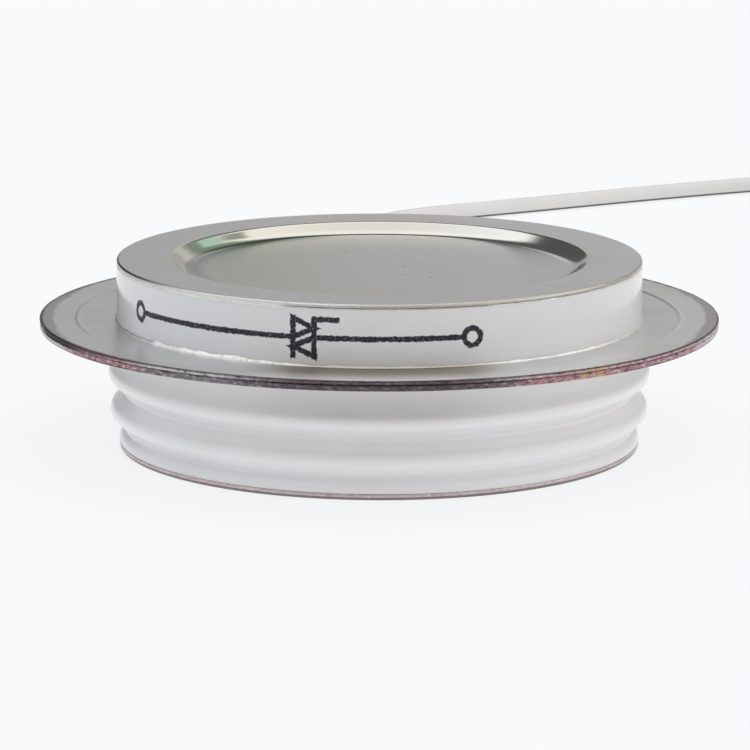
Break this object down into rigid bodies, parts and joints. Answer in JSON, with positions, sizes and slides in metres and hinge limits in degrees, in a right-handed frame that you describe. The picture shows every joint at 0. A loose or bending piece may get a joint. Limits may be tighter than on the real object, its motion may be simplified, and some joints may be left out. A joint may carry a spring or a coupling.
{
  "type": "triac",
  "caption": "Disc capsule triac: dished nickel contact faces on ribbed white ceramic, a thin welded brim round the middle and a slim insulated gate lead.",
  "frame": {"origin": "middle of the base rim's underside, on the capsule's axis", "axes": "+Z along the capsule's axis, from the base cup to the lid cup; +Y towards the gate tube; +X to the right in the picture"},
  "size_m": [0.1216, 0.2188, 0.0209],
  "materials": {
    "lid_nickel": "satin nickel plating on copper, polished dish wall",
    "base_nickel": "satin nickel plating on copper, slightly pink",
    "brim_nickel": "satin nickel plating on copper, heat tinted at the edge",
    "tube_nickel": "drawn nickel alloy",
    "band_ceramic": "smooth white glaze",
    "ribbed_ceramic": "smooth white glaze",
    "braze": "bright silver alloy",
    "copper": "turned copper",
    "silver": "rolled silver",
    "molybdenum": "lapped grey metal",
    "silicon": "polished semiconductor",
    "seal_rubber": "cast silicone rubber",
    "insulating_plastic": "machined white insulating plastic",
    "spring_steel": "drawn spring wire",
    "tinned_copper": "tinned copper",
    "sleeve_plastic": "shrunk white sleeve",
    "lead_insulation": "smooth light grey insulation"
  },
  "bodies": {
    "root": {"lid_cup": "lid_nickel", "upper_ceramic_ring": "band_ceramic", "lid_flange": "brim_nickel", "band_braze_fillet": "braze", "base_flange": "brim_nickel", "lower_ceramic": "ribbed_ceramic", "base_cup": "base_nickel", "base_pole": "copper", "lid_pole": "copper", "contact_foil": "silver", "base_molybdenum_disc": "molybdenum", "silicon_wafer": "silicon", "wafer_edge_seal": "seal_rubber", "lid_molybdenum_washer": "molybdenum", "centring_ring": "insulating_plastic", "gate_bush": "insulating_plastic", "gate_pin": "silver", "gate_spring": "spring_steel", "inner_gate_wire": "silver", "inner_wire_sleeve": "insulating_plastic", "gate_tube": "tube_nickel", "tube_braze_ring": "braze", "tube_end_seal": "braze", "joint_ferrule": "tinned_copper", "lead_core_root": "tinned_copper", "lead_sleeve": "sleeve_plastic", "gate_lead": "lead_insulation", "gate_lead_coil": "lead_insulation", "lead_core_tip": "tinned_copper"}
  },
  "joints": []
}
